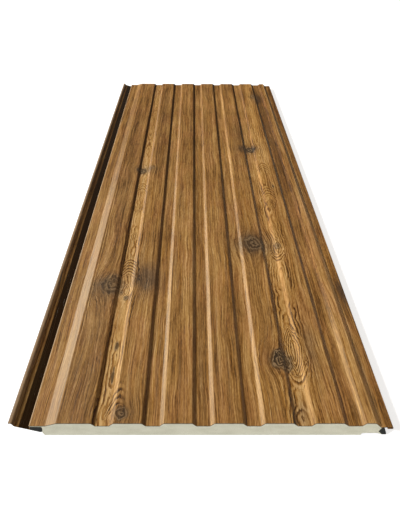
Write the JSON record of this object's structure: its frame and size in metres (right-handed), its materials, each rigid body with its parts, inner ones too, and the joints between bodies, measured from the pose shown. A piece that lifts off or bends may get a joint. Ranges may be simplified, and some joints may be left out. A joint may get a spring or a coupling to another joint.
{
  "type": "siding panel",
  "caption": "Insulated siding panel: a ribbed wood-print sheet face on a foam core with a foil back, a hemmed tongue along one long edge and a slot with a fixing flange along the other.",
  "frame": {"origin": "centre of the panel's outer box, on the plane of the foil back", "axes": "+Y along the panel's length, +Z out of the ribbed face, +X from the fixing flange towards the tongue"},
  "size_m": [0.4174, 1.5, 0.016],
  "materials": {
    "wood_print": "satin printed coil coating with a wood grain",
    "foam": "sawn rigid foam, pale greenish cream",
    "foil": "dull foil on paper",
    "sponge": "black sponge strip"
  },
  "bodies": {
    "root": {"face_sheet": "wood_print", "foam_core": "foam", "backing_foil": "foil", "slot_seal": "sponge", "edge_seal": "sponge"}
  },
  "joints": []
}
